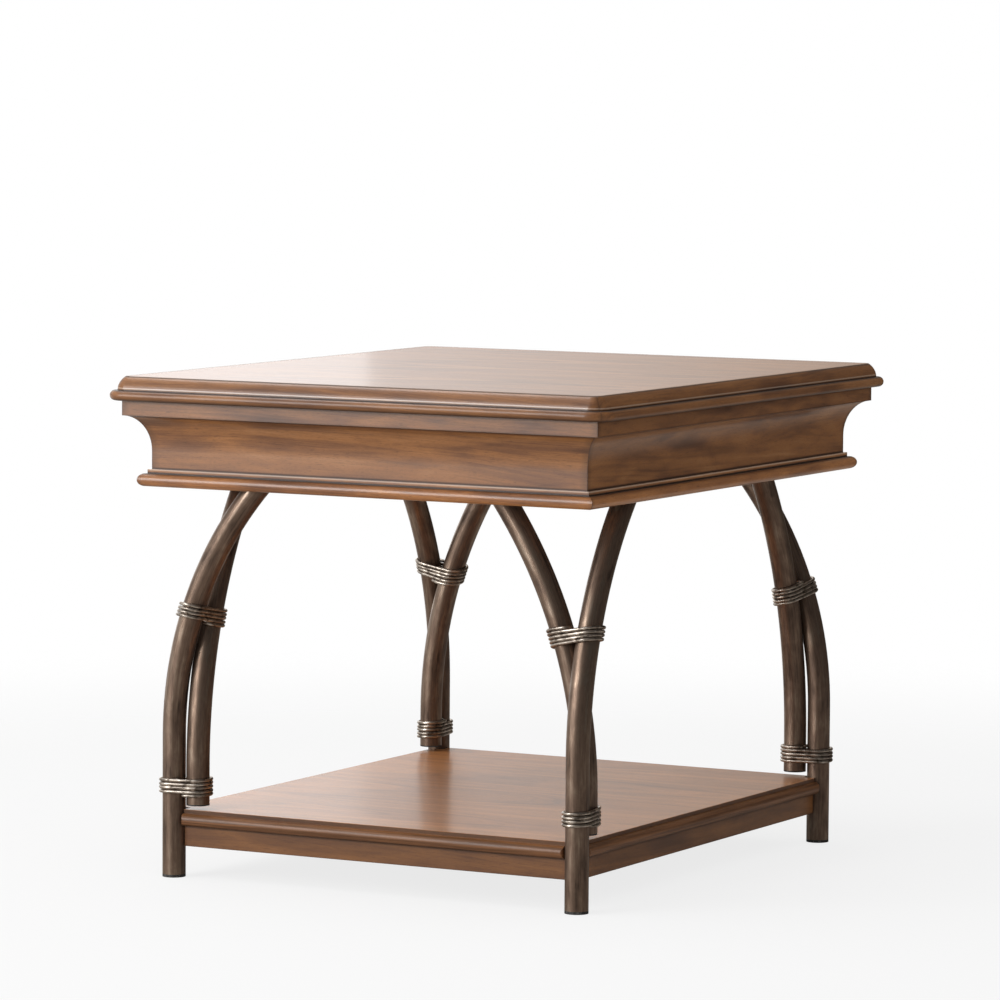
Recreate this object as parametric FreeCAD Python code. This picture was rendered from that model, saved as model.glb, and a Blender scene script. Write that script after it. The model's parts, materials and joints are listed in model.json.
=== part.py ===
import FreeCAD
import Part
import math
import os

# A wooden side table: a moulded top on a coved apron, a shelf near the floor, and four corner
# sets of two bent steel tubes, each set bound by two wire lashings.
# Millimetres, +Z up. The origin is on the floor, under the middle of the top.
# X runs along the front, Y from the front to the back.

# The whole table, over the bead of the top
TABLE_WIDTH = 610.0
TABLE_DEPTH = 711.0
TABLE_HEIGHT = 546.0

# Moulded edge of the top, from the bottom: bead, ledge, fillet, ovolo, flat lip
TOP_THICKNESS = 26.0
TOP_BEAD_HEIGHT = 11.0
TOP_LEDGE = 3.0
TOP_FILLET_HEIGHT = 2.5
TOP_OVOLO_WIDTH = 9.0
TOP_OVOLO_BULGE = 1.6
TOP_LIP = 4.0
TOP_CORNER_RADIUS = 25.0

# Apron: flat band, then a cove that ends in an upright face
BAND_INSET = 16.5
BAND_HEIGHT = 16.5
COVE_HEIGHT = 58.5
COVE_CURVE_HEIGHT = 38.5
COVE_DEPTH = 23.5
APRON_WALL = 18.0

# Base rails under the apron: a fillet over a half-round bead
BASE_FILLET_HEIGHT = 4.5
BASE_FILLET_PROUD = 3.5
BASE_BEAD_HEIGHT = 14.0
BASE_BEAD_PROUD = 12.0
BASE_RAIL_WIDTH = 85.0

# Blocks and cleats inside the apron
BLOCK_LEG = 75.0
BLOCK_NOSE = 12.0
CLEAT_SECTION = 20.0
CLEAT_END_GAP = 12.0

# Legs and braces, of one steel tube
TUBE_DIAMETER = 25.4
TUBE_WALL = 1.5
LEG_INSET = 58.0
BEND_START = 155.0
LEG_REACH = 102.5
BRACE_BEND_START = 120.0
BRACE_REACH = 99.0
BRACE_ACROSS = 4.5
BRACE_CROSSING_GAP = 0.4
CROSSING_SAMPLES = 240
BRACE_LIFT = 5.0
GLIDE_THICKNESS = 3.0
END_PLUG_THICKNESS = 1.5
PLUG_LENGTH = 14.0
PLUG_CLEARANCE = 0.2

# Steel plates on the upper ends, let into the base rails
PLATE_LENGTH = 64.0
PLATE_WIDTH = 40.0
PLATE_THICKNESS = 3.0
PLATE_CORNER = 5.0
PLATE_CLEARANCE = 0.3
PLATE_SCREW_MARGIN = 7.5

# Wire lashings
WIRE_DIAMETER = 4.2
WIRE_PITCH = 4.8
WIRE_CLEARANCE = 0.3
LASHING_HALF_TURNS = 7
LOWER_LASHING_HEIGHT = 100.0
UPPER_LASHING_HEIGHT = 288.0

# Shelf: a stepped panel with a half-round nosing, over four rails
SHELF_HEIGHT = 34.0
SHELF_INSET = 49.0
SHELF_RAIL_HEIGHT = 22.5
SHELF_RAIL_THICKNESS = 13.0
NOSING_HEIGHT = 13.5
SHELF_STEP_HEIGHT = 4.5
SHELF_STEP_INSET = 7.5
LEG_NOTCH_CLEARANCE = 0.5
NOSING_END_RADIUS = 4.0
NOSING_END_START = 0.5

# Shelf brackets: an upright web on the corner's diagonal, with a flange under the panel
BRACKET_WEB = 4.0
BRACKET_REACH = 68.0
BRACKET_FLANGE_START = 38.0
BRACKET_FLANGE_WIDTH = 36.0
BRACKET_FLANGE_THICKNESS = 3.0
BRACKET_CLEARANCE = 0.3
BRACKET_SCREW_OFFSET = 11.0

# Screws
SCREW_SHANK = 4.0
SCREW_HEAD = 8.0
SCREW_HEAD_HEIGHT = 2.4
SCREW_CLEARANCE = 0.15
TOP_SCREW_BITE = 14.0
BASE_SCREW_BITE = 22.0
PLATE_SCREW_BITE = 11.0
BRACKET_SCREW_BITE = 11.0
SCREW_SPACING = 120.0

# Heights and places that follow
TUBE_RADIUS = TUBE_DIAMETER / 2
WIRE_RADIUS = WIRE_DIAMETER / 2
TOP_UNDERSIDE = TABLE_HEIGHT - TOP_THICKNESS
BAND_BOTTOM = TOP_UNDERSIDE - BAND_HEIGHT
APRON_BOTTOM = BAND_BOTTOM - COVE_HEIGHT
FILLET_BOTTOM = APRON_BOTTOM - BASE_FILLET_HEIGHT
UNDERSIDE = FILLET_BOTTOM - BASE_BEAD_HEIGHT
COVE_INSET = BAND_INSET + COVE_DEPTH
APRON_INNER_INSET = COVE_INSET + APRON_WALL
BASE_INSET = COVE_INSET - BASE_BEAD_PROUD
BEAD_RADIUS = TOP_BEAD_HEIGHT / 2
OVOLO_FOOT_INSET = BEAD_RADIUS + TOP_LEDGE
ARRIS_INSET = OVOLO_FOOT_INSET + TOP_OVOLO_WIDTH
PANEL_INSET = ARRIS_INSET + TOP_LIP
SHELF_RAIL_TOP = SHELF_HEIGHT + SHELF_RAIL_HEIGHT
NOSING_TOP = SHELF_RAIL_TOP + NOSING_HEIGHT
SHELF_TOP = NOSING_TOP + SHELF_STEP_HEIGHT
SHELF_RAIL_INSET = LEG_INSET
BRACE_BOTTOM = SHELF_TOP + BRACE_LIFT
FLANGE_BOTTOM = SHELF_RAIL_TOP - BRACKET_FLANGE_THICKNESS

# Sides and corners, each with its quarter turns from the front or the front left
SIDES = {"front": 0, "right": 1, "back": 2, "left": 3}
CORNERS = {"front_left": 0, "front_right": 1, "back_right": 2, "back_left": 3}

Vector = FreeCAD.Vector
ORIGIN = Vector(0, 0, 0)
UP = Vector(0, 0, 1)
pieces = {}


def turned(shape, quarter_turns):
    copy = shape.copy()
    copy.rotate(ORIGIN, UP, 90.0 * quarter_turns)
    return copy


def moved(shape, place):
    copy = shape.copy()
    copy.translate(place)
    return copy


def box(low, high):
    size = high - low
    return Part.makeBox(size.x, size.y, size.z, low)


def line(start, end):
    return Part.LineSegment(start, end).toShape()


def arc(start, through, end):
    return Part.Arc(start, through, end).toShape()


def face_of(edges):
    return Part.Face(Part.Wire(edges))


def outline(points):
    return face_of([line(a, b) for a, b in zip(points, points[1:] + points[:1])])


def prism(points, height):
    return outline(points).extrude(Vector(0, 0, height))


def half_sizes(side):
    """Half the length of a side and the distance of its face from the middle."""
    if side in ("front", "back"):
        return TABLE_WIDTH / 2, TABLE_DEPTH / 2
    return TABLE_DEPTH / 2, TABLE_WIDTH / 2


def leg_place(corner):
    along = TABLE_WIDTH / 2 - LEG_INSET
    back = TABLE_DEPTH / 2 - LEG_INSET
    signs = {"front_left": (-1, -1), "front_right": (1, -1), "back_right": (1, 1), "back_left": (-1, 1)}
    x_sign, y_sign = signs[corner]
    return Vector(x_sign * along, y_sign * back, 0)


def at_corner(shape, corner):
    """Place a shape of the front left set, drawn round its leg's axis, at a corner."""
    return moved(turned(shape, CORNERS[corner]), leg_place(corner))


def mitred(profile, side, depth):
    """Run a profile of the front side along a side and mitre both ends."""
    half, face = half_sizes(side)
    bar = moved(profile, Vector(-half, -face, 0)).extrude(Vector(2 * half, 0, 0))
    plan = [
        Vector(-half, -face, 0),
        Vector(half, -face, 0),
        Vector(half - depth, depth - face, 0),
        Vector(depth - half, depth - face, 0),
    ]
    return turned(bar.common(prism(plan, TABLE_HEIGHT)), SIDES[side])


def at(inset, height):
    """A point of a side's profile, by its inset from the outermost line and its height."""
    return Vector(0, inset, height)


# Screws stand on their heads, with the shank up


def flat_screw(length, clearance=0.0):
    """A countersunk screw with its head's flat at the origin."""
    head = SCREW_HEAD / 2 + clearance
    shank = SCREW_SHANK / 2 + clearance
    tip = length + clearance
    profile = [
        Vector(0, 0, 0),
        Vector(head, 0, 0),
        Vector(shank, 0, SCREW_HEAD_HEIGHT),
        Vector(shank, 0, tip),
        Vector(0, 0, tip),
    ]
    return outline(profile).revolve(ORIGIN, UP, 360)


def pan_screw(length):
    """A flat-bottomed screw whose head hangs below the origin."""
    head = Part.makeCylinder(SCREW_HEAD / 2, SCREW_HEAD_HEIGHT, Vector(0, 0, -SCREW_HEAD_HEIGHT))
    return head.fuse(Part.makeCylinder(SCREW_SHANK / 2, length)).removeSplitter()


def shank_hole(length):
    return Part.makeCylinder(SCREW_SHANK / 2 + SCREW_CLEARANCE, length + SCREW_CLEARANCE)


# Top


def top_edge_profile():
    bead_top = TOP_UNDERSIDE + TOP_BEAD_HEIGHT
    fillet_top = bead_top + TOP_FILLET_HEIGHT
    foot = at(OVOLO_FOOT_INSET, fillet_top)
    arris = at(ARRIS_INSET, TABLE_HEIGHT)
    chord = arris - foot
    outward = Vector(0, -chord.z, chord.y).normalize()
    crown = (foot + arris) * 0.5 + outward * TOP_OVOLO_BULGE
    return face_of([
        line(at(PANEL_INSET, TOP_UNDERSIDE), at(BEAD_RADIUS, TOP_UNDERSIDE)),
        arc(at(BEAD_RADIUS, TOP_UNDERSIDE), at(0, TOP_UNDERSIDE + BEAD_RADIUS), at(BEAD_RADIUS, bead_top)),
        line(at(BEAD_RADIUS, bead_top), at(OVOLO_FOOT_INSET, bead_top)),
        line(at(OVOLO_FOOT_INSET, bead_top), foot),
        arc(foot, crown, arris),
        line(arris, at(PANEL_INSET, TABLE_HEIGHT)),
        line(at(PANEL_INSET, TABLE_HEIGHT), at(PANEL_INSET, TOP_UNDERSIDE)),
    ])


def top_edge(side):
    """A moulded edge that turns half of each rounded corner and meets its neighbours on the diagonal."""
    half, face = half_sizes(side)
    straight = half - TOP_CORNER_RADIUS
    profile = top_edge_profile()
    edge = moved(profile, Vector(-straight, -face, 0)).extrude(Vector(2 * straight, 0, 0))
    for end, turn in ((straight, 45), (-straight, -45)):
        centre = Vector(end, TOP_CORNER_RADIUS - face, 0)
        section = moved(profile, Vector(end, -face, 0))
        edge = edge.fuse(section.revolve(centre, UP, turn))
    return turned(edge.removeSplitter(), SIDES[side])


def top_panel():
    reach = Vector(TABLE_WIDTH / 2 - PANEL_INSET, TABLE_DEPTH / 2 - PANEL_INSET, 0)
    slab = box(Vector(-reach.x, -reach.y, TOP_UNDERSIDE), Vector(reach.x, reach.y, TABLE_HEIGHT))
    upright = [e for e in slab.Edges if abs(e.tangentAt(e.FirstParameter).z) > 0.99]
    return slab.makeFillet(TOP_CORNER_RADIUS - PANEL_INSET, upright)


# Apron and base rails


def apron_profile():
    curve_bottom = BAND_BOTTOM - COVE_CURVE_HEIGHT
    centre = at(BAND_INSET, curve_bottom)
    ellipse = Part.Ellipse(at(BAND_INSET, BAND_BOTTOM), at(COVE_INSET, curve_bottom), centre)
    return face_of([
        line(at(APRON_INNER_INSET, TOP_UNDERSIDE), at(BAND_INSET, TOP_UNDERSIDE)),
        line(at(BAND_INSET, TOP_UNDERSIDE), at(BAND_INSET, BAND_BOTTOM)),
        Part.ArcOfEllipse(ellipse, 0, math.pi / 2).toShape(),
        line(at(COVE_INSET, curve_bottom), at(COVE_INSET, APRON_BOTTOM)),
        line(at(COVE_INSET, APRON_BOTTOM), at(APRON_INNER_INSET, APRON_BOTTOM)),
        line(at(APRON_INNER_INSET, APRON_BOTTOM), at(APRON_INNER_INSET, TOP_UNDERSIDE)),
    ])


def base_rail_profile():
    radius = BASE_BEAD_HEIGHT / 2
    inner = BASE_INSET + BASE_RAIL_WIDTH
    fillet = COVE_INSET - BASE_FILLET_PROUD
    round_start = at(BASE_INSET + radius, UNDERSIDE)
    round_end = at(BASE_INSET + radius, FILLET_BOTTOM)
    return face_of([
        line(at(inner, UNDERSIDE), round_start),
        arc(round_start, at(BASE_INSET, UNDERSIDE + radius), round_end),
        line(round_end, at(fillet, FILLET_BOTTOM)),
        line(at(fillet, FILLET_BOTTOM), at(fillet, APRON_BOTTOM)),
        line(at(fillet, APRON_BOTTOM), at(inner, APRON_BOTTOM)),
        line(at(inner, APRON_BOTTOM), at(inner, UNDERSIDE)),
    ])


def screw_row(side, inset, height):
    """The two places of a side's screws, one each way from its middle."""
    half, face = half_sizes(side)
    places = [Vector(x, inset - face, height) for x in (-SCREW_SPACING / 2, SCREW_SPACING / 2)]
    turn = FreeCAD.Rotation(UP, 90.0 * SIDES[side])
    return [turn.multVec(place) for place in places]


def corner_block():
    """A glue block for the front left inner corner, with its sharp tips cut off."""
    points = [
        Vector(0, 0, 0),
        Vector(BLOCK_LEG, 0, 0),
        Vector(BLOCK_LEG, BLOCK_NOSE, 0),
        Vector(BLOCK_NOSE, BLOCK_LEG, 0),
        Vector(0, BLOCK_LEG, 0),
    ]
    from_leg = APRON_INNER_INSET - LEG_INSET
    return moved(prism(points, TOP_UNDERSIDE - APRON_BOTTOM), Vector(from_leg, from_leg, APRON_BOTTOM))


def top_cleat(side):
    half, face = half_sizes(side)
    reach = half - APRON_INNER_INSET - BLOCK_LEG - CLEAT_END_GAP
    outer = APRON_INNER_INSET - face
    low = Vector(-reach, outer, TOP_UNDERSIDE - CLEAT_SECTION)
    bar = box(low, Vector(reach, outer + CLEAT_SECTION, TOP_UNDERSIDE))
    return turned(bar, SIDES[side])


# Legs and braces, drawn round the leg's axis at the front left: the leg bends along +X, the brace along +Y


class Bend:
    """A tube's line in the X-Z plane: upright to the start of the bend, then one arc to the base rails."""

    def __init__(self, start, reach):
        self.start = start
        self.rise = UNDERSIDE - start
        self.reach = reach
        self.radius = (self.rise ** 2 + reach ** 2) / (2 * reach)

    def way(self, height):
        """The direction of the line at a height."""
        lean = max(height - self.start, 0.0) / self.radius
        return Vector(lean, 0, math.sqrt(1 - lean ** 2))

    def point(self, height):
        return Vector(self.radius * (1 - self.way(height).z), 0, height)

    def rod(self, radius, bottom):
        centre = Vector(self.radius, 0, self.start)
        sweep = math.degrees(math.asin(self.rise / self.radius) + TUBE_DIAMETER / self.radius)
        section = Part.Face(Part.Wire(Part.makeCircle(radius, Vector(0, 0, self.start), UP)))
        bend = section.revolve(centre, Vector(0, 1, 0), sweep)
        upright = Part.makeCylinder(radius, self.start - bottom, Vector(0, 0, bottom))
        reach = 2 * self.reach + TUBE_DIAMETER
        below = box(Vector(-TUBE_DIAMETER, -TUBE_DIAMETER, 0), Vector(reach, TUBE_DIAMETER, UNDERSIDE))
        return upright.fuse(bend).removeSplitter().common(below)

    def tube(self, bottom):
        return self.rod(TUBE_RADIUS, bottom).cut(self.rod(TUBE_RADIUS - TUBE_WALL, bottom))


LEG_BEND = Bend(BEND_START, LEG_REACH)
BRACE_BEND = Bend(BRACE_BEND_START, BRACE_REACH)


def brace_along():
    """How far along the leg's bend the brace stands, for the two tubes to pass with the crossing gap."""
    apart = TUBE_DIAMETER + BRACE_CROSSING_GAP
    step = (UNDERSIDE - BRACE_BOTTOM) / CROSSING_SAMPLES
    heights = [BRACE_BOTTOM + step * number for number in range(CROSSING_SAMPLES)]
    legs = [LEG_BEND.point(height).x for height in heights]
    braces = [BRACE_ACROSS + BRACE_BEND.point(height).x for height in heights]
    least = 0.0
    for leg, low in zip(legs, heights):
        for brace, high in zip(braces, heights):
            free = apart ** 2 - brace ** 2 - (high - low) ** 2
            if free > 0:
                least = max(least, leg + math.sqrt(free))
    return least


BRACE_ALONG = brace_along()


def beside_leg(shape):
    """Place a shape drawn on the leg's axis and bend at the brace."""
    return moved(turned(shape, 1), Vector(BRACE_ALONG, BRACE_ACROSS, 0))


def end_plug(thickness):
    """A push-in plug whose disc closes the tube's end, with its stem up the bore."""
    stem = Part.makeCylinder(TUBE_RADIUS - TUBE_WALL - PLUG_CLEARANCE, thickness + PLUG_LENGTH)
    return Part.makeCylinder(TUBE_RADIUS, thickness).fuse(stem).removeSplitter()


def plate_blank(reach, clearance):
    half_length = PLATE_LENGTH / 2 + clearance
    half_width = PLATE_WIDTH / 2 + clearance
    low = Vector(-half_length, -half_width, UNDERSIDE)
    blank = box(low, Vector(half_length, half_width, UNDERSIDE + PLATE_THICKNESS))
    upright = [e for e in blank.Edges if abs(e.tangentAt(e.FirstParameter).z) > 0.99]
    return moved(blank.makeFillet(PLATE_CORNER, upright), Vector(reach, 0, 0))


def plate_screw_places(reach):
    offset = PLATE_LENGTH / 2 - PLATE_SCREW_MARGIN
    return [Vector(reach + x, 0, UNDERSIDE) for x in (-offset, offset)]


def plate(reach):
    blank = plate_blank(reach, 0.0)
    for place in plate_screw_places(reach):
        blank = blank.cut(moved(flat_screw(PLATE_THICKNESS, SCREW_CLEARANCE), place))
    return blank


# Lashings: one wire that starts in front of the brace and goes round brace and leg in turn


class Lashing:
    def __init__(self, height):
        self.leg = LEG_BEND.point(height)
        self.leg_way = LEG_BEND.way(height)
        quarter = FreeCAD.Rotation(UP, 90)
        self.brace = Vector(BRACE_ALONG, BRACE_ACROSS, 0) + quarter.multVec(BRACE_BEND.point(height))
        self.brace_way = quarter.multVec(BRACE_BEND.way(height))
        self.axis = (self.leg_way + self.brace_way).normalize()
        self.centre = (self.leg + self.brace) * 0.5
        across = self.brace - self.leg
        self.along = (across - self.axis * across.dot(self.axis)).normalize()
        self.back = self.axis.cross(self.along)
        slant = min(self.leg_way.dot(self.axis), self.brace_way.dot(self.axis))
        self.radius = TUBE_RADIUS / slant + WIRE_CLEARANCE + WIRE_RADIUS

    def crossing(self, on_brace, rise):
        """Where a tube's axis passes the lashing's plane at a rise along the lashing's axis."""
        point, way = (self.brace, self.brace_way) if on_brace else (self.leg, self.leg_way)
        return point + way * ((rise - (point - self.centre).dot(self.axis)) / way.dot(self.axis))

    def half_turns(self):
        """The start and end of each half turn, round the brace and the leg by turns."""
        bend = math.pi * self.radius
        share = bend / (bend + (self.brace - self.leg).Length)
        ends = []
        for turn in range(LASHING_HALF_TURNS):
            on_brace = turn % 2 == 0
            rise = (turn - (LASHING_HALF_TURNS - 1) / 2) * WIRE_PITCH / 2
            middle = self.crossing(on_brace, rise)
            step = self.back * self.radius * (1 if on_brace else -1) + self.axis * WIRE_PITCH / 4 * share
            ends.append((middle - step, middle + step))
        return ends

    def edges(self):
        """Straight runs between the tubes, and a biarc round a tube for each half turn."""
        ends = self.half_turns()
        runs = [(after[0] - before[1]).normalize() for before, after in zip(ends, ends[1:])]
        ways = [runs[1]] + runs + [runs[-2]]
        edges = [line(ends[0][0] - ways[0] * WIRE_DIAMETER, ends[0][0])]
        for number, (start, end) in enumerate(ends):
            edges += biarc(start, ways[number], end, ways[number + 1])
            if number + 1 < len(ends):
                edges.append(line(end, ends[number + 1][0]))
        edges.append(line(ends[-1][1], ends[-1][1] + ways[-1] * WIRE_DIAMETER))
        return edges

    def solid(self, name):
        path = Part.Wire(self.edges())
        first = path.OrderedEdges[0]
        start = first.valueAt(first.FirstParameter)
        section = Part.Wire(Part.makeCircle(WIRE_RADIUS, start, first.tangentAt(first.FirstParameter)))
        shell = Part.BRepOffsetAPI.MakePipeShell(path)
        shell.add(section)
        shell.build()
        shell.makeSolid()
        wire = shell.shape()
        swept = math.pi * WIRE_RADIUS ** 2 * path.Length
        gap = self_gap(path)
        share = wire.Volume / swept
        print(f"{name}: least gap to itself {gap:.2f}, volume {share:.4f} of section times length")
        return wire


def biarc(start, start_way, end, end_way):
    """Two arcs, tangent to each other and to the given directions at the ends."""
    chord = end - start
    ways = start_way + end_way
    turn = 2 * (1 - start_way.dot(end_way))
    slope = chord.dot(ways)
    reach = (math.sqrt(slope ** 2 + turn * chord.dot(chord)) - slope) / turn
    first = start + start_way * reach
    second = end - end_way * reach
    joint = (first + second) * 0.5
    arcs = []
    for a, corner, b in ((start, first, joint), (joint, second, end)):
        weight = math.cos((corner - a).getAngle(b - corner) / 2)
        arcs.append(arc(a, (a + corner * 2 * weight + b) * (1 / (2 + 2 * weight)), b))
    return arcs


def self_gap(path):
    """The least clear distance between stretches of a wire that lie more than half a turn apart."""
    step = 1.0
    count = int(path.Length / step)
    points = path.discretize(Number=count)
    apart = int(math.pi * TUBE_RADIUS / step)
    pairs = ((points[i], points[j]) for i in range(count) for j in range(i + apart, count))
    return min(a.distanceToPoint(b) for a, b in pairs) - WIRE_DIAMETER


# Shelf


def shelf_section(half):
    """The panel's section from edge to edge: half-round nosing below a set-in step."""
    radius = NOSING_HEIGHT / 2
    middle = SHELF_RAIL_TOP + radius
    nose = half - radius
    step = half - SHELF_STEP_INSET
    return face_of([
        line(Vector(0, -nose, SHELF_RAIL_TOP), Vector(0, nose, SHELF_RAIL_TOP)),
        arc(Vector(0, nose, SHELF_RAIL_TOP), Vector(0, half, middle), Vector(0, nose, NOSING_TOP)),
        line(Vector(0, nose, NOSING_TOP), Vector(0, step, NOSING_TOP)),
        line(Vector(0, step, NOSING_TOP), Vector(0, step, SHELF_TOP)),
        line(Vector(0, step, SHELF_TOP), Vector(0, -step, SHELF_TOP)),
        line(Vector(0, -step, SHELF_TOP), Vector(0, -step, NOSING_TOP)),
        line(Vector(0, -step, NOSING_TOP), Vector(0, -nose, NOSING_TOP)),
        arc(Vector(0, -nose, NOSING_TOP), Vector(0, -half, middle), Vector(0, -nose, SHELF_RAIL_TOP)),
    ])


def shelf_notch():
    """The square notch for the front left leg, rounded in plan where the two nosings end."""
    side = TUBE_RADIUS + LEG_NOTCH_CLEARANCE
    start = LEG_INSET - SHELF_INSET + NOSING_END_START
    far = LEG_INSET * 2
    end = side + NOSING_END_RADIUS
    turn = NOSING_END_RADIUS - start
    middle = NOSING_END_RADIUS * math.sqrt(0.5)
    return face_of([
        line(Vector(-far, -far, 0), Vector(end, -far, 0)),
        line(Vector(end, -far, 0), Vector(end, -start, 0)),
        arc(Vector(end, -start, 0), Vector(end - middle, turn - middle, 0), Vector(side, turn, 0)),
        line(Vector(side, turn, 0), Vector(side, side, 0)),
        line(Vector(side, side, 0), Vector(turn, side, 0)),
        arc(Vector(turn, side, 0), Vector(turn - middle, end - middle, 0), Vector(-start, end, 0)),
        line(Vector(-start, end, 0), Vector(-far, end, 0)),
        line(Vector(-far, end, 0), Vector(-far, -far, 0)),
    ]).extrude(Vector(0, 0, TABLE_HEIGHT))


def on_diagonal(shape):
    """Turn a shape drawn along X onto the front left corner's diagonal."""
    copy = shape.copy()
    copy.rotate(ORIGIN, UP, 45)
    return copy


def shelf_panel():
    half_width = TABLE_WIDTH / 2 - SHELF_INSET
    half_depth = TABLE_DEPTH / 2 - SHELF_INSET
    along = moved(shelf_section(half_depth), Vector(-half_width, 0, 0)).extrude(Vector(2 * half_width, 0, 0))
    across = moved(shelf_section(half_width), Vector(-half_depth, 0, 0)).extrude(Vector(2 * half_depth, 0, 0))
    panel = along.common(turned(across, 1))
    for corner in CORNERS:
        panel = panel.cut(at_corner(shelf_notch(), corner))
        for place in bracket_screw_places():
            panel = panel.cut(at_corner(moved(shank_hole(bracket_screw_length()), place), corner))
    return panel


def shelf_rail(side):
    """A square-ended rail between two legs, its face on their centre line, slotted for the brackets."""
    half, face = half_sizes(side)
    reach = half - LEG_INSET - TUBE_RADIUS - LEG_NOTCH_CLEARANCE
    outer = SHELF_RAIL_INSET - face
    inner = outer + SHELF_RAIL_THICKNESS
    bar = box(Vector(-reach, outer, SHELF_HEIGHT), Vector(reach, inner, SHELF_RAIL_TOP))
    rail = turned(bar, SIDES[side])
    slot = BRACKET_WEB / 2 + BRACKET_CLEARANCE
    web = box(Vector(0, -slot, 0), Vector(BRACKET_REACH, slot, SHELF_RAIL_TOP))
    for corner in CORNERS:
        rail = rail.cut(at_corner(on_diagonal(web), corner))
    return rail


def bracket_screw_places():
    """Under the flange, on both sides of the web."""
    along = (BRACKET_FLANGE_START + BRACKET_REACH) / 2
    turn = FreeCAD.Rotation(UP, 45)
    sides = (-BRACKET_SCREW_OFFSET, BRACKET_SCREW_OFFSET)
    return [turn.multVec(Vector(along, across, FLANGE_BOTTOM)) for across in sides]


def bracket_screw_length():
    return BRACKET_FLANGE_THICKNESS + BRACKET_SCREW_BITE


def shelf_bracket():
    half_flange = BRACKET_FLANGE_WIDTH / 2
    web = box(
        Vector(0, -BRACKET_WEB / 2, SHELF_HEIGHT),
        Vector(BRACKET_REACH, BRACKET_WEB / 2, SHELF_RAIL_TOP),
    )
    flange = box(
        Vector(BRACKET_FLANGE_START, -half_flange, FLANGE_BOTTOM),
        Vector(BRACKET_REACH, half_flange, SHELF_RAIL_TOP),
    )
    bracket = on_diagonal(web.fuse(flange).removeSplitter())
    bracket = bracket.cut(Part.makeCylinder(TUBE_RADIUS + BRACKET_CLEARANCE, UNDERSIDE))
    for place in bracket_screw_places():
        bracket = bracket.cut(moved(shank_hole(bracket_screw_length()), place))
    return bracket


# Put the pieces together

plate_screw = flat_screw(PLATE_THICKNESS + PLATE_SCREW_BITE)
plate_screw_hole = flat_screw(PLATE_THICKNESS + PLATE_SCREW_BITE, SCREW_CLEARANCE)
pockets = []
plate_screws = []
for corner in CORNERS:
    for reach, holder in ((LEG_REACH, lambda shape: shape), (BRACE_REACH, beside_leg)):
        pockets.append(at_corner(holder(plate_blank(reach, PLATE_CLEARANCE)), corner))
        for place in plate_screw_places(reach):
            plate_screws.append(at_corner(holder(moved(plate_screw, place)), corner))
            pockets.append(at_corner(holder(moved(plate_screw_hole, place)), corner))

base_screw_length = APRON_BOTTOM - UNDERSIDE + BASE_SCREW_BITE
base_screw_inset = COVE_INSET + APRON_WALL / 2
top_screw_length = CLEAT_SECTION + TOP_SCREW_BITE
top_screw_inset = APRON_INNER_INSET + CLEAT_SECTION / 2
base_screws = []
top_screws = []
panel = top_panel()
for side in SIDES:
    apron = mitred(apron_profile(), side, APRON_INNER_INSET)
    base_rail = mitred(base_rail_profile(), side, BASE_INSET + BASE_RAIL_WIDTH)
    cleat = top_cleat(side)
    for place in screw_row(side, base_screw_inset, UNDERSIDE):
        base_screws.append(moved(flat_screw(base_screw_length), place))
        hole = moved(flat_screw(base_screw_length, SCREW_CLEARANCE), place)
        apron = apron.cut(hole)
        base_rail = base_rail.cut(hole)
    for place in screw_row(side, top_screw_inset, TOP_UNDERSIDE - CLEAT_SECTION):
        top_screws.append(moved(pan_screw(top_screw_length), place))
        hole = moved(shank_hole(top_screw_length), place)
        cleat = cleat.cut(hole)
        panel = panel.cut(hole)
    for pocket in pockets:
        base_rail = base_rail.cut(pocket)
    pieces[f"top_edge_{side}"] = top_edge(side)
    pieces[f"apron_{side}"] = apron
    pieces[f"base_rail_{side}"] = base_rail
    pieces[f"top_cleat_{side}"] = cleat
    pieces[f"shelf_rail_{side}"] = shelf_rail(side)
pieces["top_panel"] = panel
pieces["shelf_panel"] = shelf_panel()

bracket = shelf_bracket()
corner_set = {
    "corner_block": corner_block(),
    "leg": LEG_BEND.tube(GLIDE_THICKNESS),
    "brace": beside_leg(BRACE_BEND.tube(BRACE_BOTTOM + END_PLUG_THICKNESS)),
    "leg_plate": plate(LEG_REACH),
    "brace_plate": beside_leg(plate(BRACE_REACH)),
    "lower_lashing": Lashing(LOWER_LASHING_HEIGHT).solid("lower lashing"),
    "upper_lashing": Lashing(UPPER_LASHING_HEIGHT).solid("upper lashing"),
    "shelf_bracket": bracket,
}
glide = end_plug(GLIDE_THICKNESS)
brace_plug = beside_leg(moved(end_plug(END_PLUG_THICKNESS), Vector(0, 0, BRACE_BOTTOM)))
bracket_screw = pan_screw(bracket_screw_length())
glides = []
brace_plugs = []
bracket_screws = []
for corner in CORNERS:
    for name, shape in corner_set.items():
        pieces[f"{corner}_{name}"] = at_corner(shape, corner)
    glides.append(at_corner(glide, corner))
    brace_plugs.append(at_corner(brace_plug, corner))
    for place in bracket_screw_places():
        bracket_screws.append(at_corner(moved(bracket_screw, place), corner))

pieces["foot_glides"] = Part.makeCompound(glides)
pieces["brace_end_plugs"] = Part.makeCompound(brace_plugs)
pieces["top_screws"] = Part.makeCompound(top_screws)
pieces["base_screws"] = Part.makeCompound(base_screws)
pieces["plate_screws"] = Part.makeCompound(plate_screws)
pieces["bracket_screws"] = Part.makeCompound(bracket_screws)

os.makedirs("parts", exist_ok=True)
for name, shape in pieces.items():
    shape.exportStep(f"parts/{name}.step")
print(f"{len(pieces)} nodes, brace {BRACE_ALONG:.2f} along the leg's bend, and {BRACE_ACROSS:.2f} across it")
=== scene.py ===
import json
import math

import bpy
from mathutils import Euler, Matrix, Vector

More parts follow.
